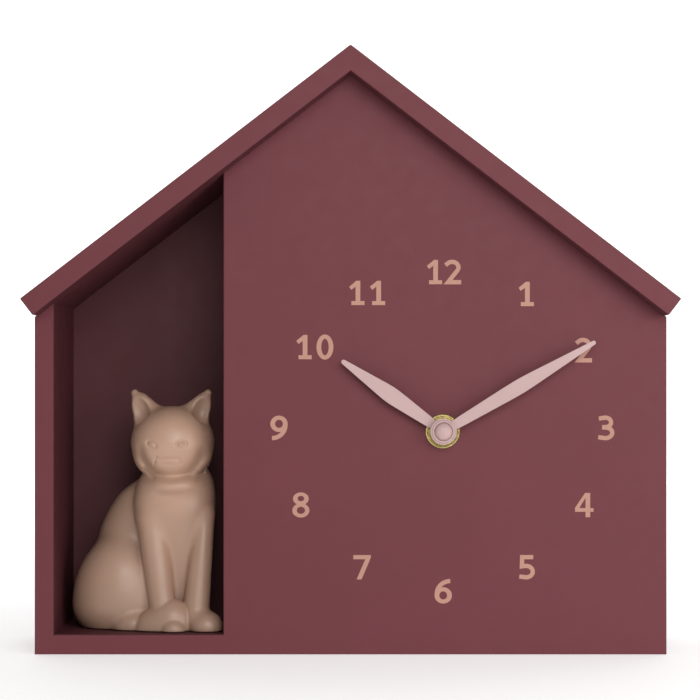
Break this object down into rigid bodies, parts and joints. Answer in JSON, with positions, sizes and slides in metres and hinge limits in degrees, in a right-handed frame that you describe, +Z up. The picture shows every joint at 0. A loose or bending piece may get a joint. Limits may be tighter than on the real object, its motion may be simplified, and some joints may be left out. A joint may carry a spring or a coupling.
{
  "type": "shelf and wall clock",
  "caption": "House-shaped wall and shelf clock: a seated cat in a tall niche beside a printed dial, with leaf hands turned by a battery quartz movement.",
  "frame": {"origin": "middle of the base, on the surface that the clock stands on", "axes": "+Z up, the dial faces -Y, +X to the right of a person who reads the dial"},
  "size_m": [0.2518, 0.076, 0.2337],
  "materials": {
    "painted_board": "matt burgundy paint on fibreboard",
    "cat_resin": "matt beige cast resin",
    "hand_paint": "matt pink-cream paint",
    "brass": "bright",
    "steel": "satin",
    "copper_wire": "enamelled copper wire",
    "magnet": "dark sintered",
    "rubber": "matt",
    "black_plastic": "fine moulded texture",
    "white_plastic": "natural acetal",
    "circuit_board": "solder mask",
    "battery_label": "printed sleeve",
    "foam_tape": "foam tape"
  },
  "bodies": {
    "case": {"front_panel": "painted_board", "left_side_board": "painted_board", "right_side_board": "painted_board", "base_board": "painted_board", "left_roof_board": "painted_board", "right_roof_board": "painted_board", "divider_board": "painted_board", "back_panel": "painted_board", "hanger_plate": "steel", "hanger_screw_left": "steel", "hanger_screw_right": "steel", "cat_figurine": "cat_resin", "cat_adhesive_pad": "foam_tape", "rubber_washer": "rubber", "brass_washer": "brass", "shaft_nut": "brass", "movement_case": "black_plastic", "movement_cover": "black_plastic", "train_plate": "white_plastic", "stator": "steel", "coil_core": "steel", "coil_bobbin": "black_plastic", "coil_winding": "copper_wire", "circuit_board": "circuit_board", "driver_chip": "black_plastic", "quartz_crystal": "steel", "positive_contact": "brass", "negative_contact": "steel"},
    "minute": {"minute_hand": "hand_paint", "minute_cap": "hand_paint", "minute_arbor": "white_plastic"},
    "hour": {"hour_hand": "hand_paint", "hour_wheel": "white_plastic"},
    "motion": {"motion_wheel": "white_plastic"},
    "setting": {"setting_arbor": "white_plastic", "setting_knob": "black_plastic"},
    "centre": {"centre_wheel": "white_plastic"},
    "third": {"third_wheel": "white_plastic"},
    "seconds": {"seconds_wheel": "white_plastic"},
    "intermediate": {"intermediate_wheel": "white_plastic"},
    "rotor": {"rotor_pinion": "white_plastic", "rotor_magnet": "magnet"},
    "battery": {"battery": "battery_label"}
  },
  "joints": [
    {"name": "minute_hand_turn", "type": "hinge", "parent": "case", "child": "minute", "pos_m": [0.0356, 0, 0.0863], "axis": [0, 1, 0], "continuous": true},
    {"name": "hour_hand_turn", "type": "hinge", "parent": "case", "child": "hour", "pos_m": [0.0356, 0, 0.0863], "axis": [0, 1, 0], "continuous": true},
    {"name": "motion_wheel_turn", "type": "hinge", "parent": "case", "child": "motion", "pos_m": [0.04339, 0, 0.0908], "axis": [0, 1, 0], "continuous": true},
    {"name": "setting_knob_turn", "type": "hinge", "parent": "case", "child": "setting", "pos_m": [0.05185, 0, 0.08772], "axis": [0, 1, 0], "continuous": true},
    {"name": "rotor_turn", "type": "hinge", "parent": "case", "child": "rotor", "pos_m": [0.04511, 0, 0.09966], "axis": [0, 1, 0], "continuous": true},
    {"name": "intermediate_wheel_turn", "type": "hinge", "parent": "case", "child": "intermediate", "pos_m": [0.03773, 0, 0.09835], "axis": [0, 1, 0], "continuous": true},
    {"name": "seconds_wheel_turn", "type": "hinge", "parent": "case", "child": "seconds", "pos_m": [0.0356, 0, 0.0863], "axis": [0, 1, 0], "continuous": true},
    {"name": "third_wheel_turn", "type": "hinge", "parent": "case", "child": "third", "pos_m": [0.025, 0, 0.09242], "axis": [0, 1, 0], "continuous": true},
    {"name": "centre_wheel_turn", "type": "hinge", "parent": "case", "child": "centre", "pos_m": [0.0356, 0, 0.0863], "axis": [0, 1, 0], "continuous": true},
    {"name": "battery_slide", "type": "slide", "parent": "case", "child": "battery", "axis": [0, 1, 0], "range_m": [0, 0.062]}
  ],
  "couplings": [
    {"joint": "hour_hand_turn", "follows": "minute_hand_turn", "ratio": 0.083333},
    {"joint": "motion_wheel_turn", "follows": "minute_hand_turn", "ratio": -0.33333},
    {"joint": "setting_knob_turn", "follows": "minute_hand_turn", "ratio": 1},
    {"joint": "intermediate_wheel_turn", "follows": "rotor_turn", "ratio": -0.25},
    {"joint": "seconds_wheel_turn", "follows": "rotor_turn", "ratio": 0.033333},
    {"joint": "third_wheel_turn", "follows": "rotor_turn", "ratio": -0.0044444},
    {"joint": "centre_wheel_turn", "follows": "rotor_turn", "ratio": 0.00055556}
  ]
}
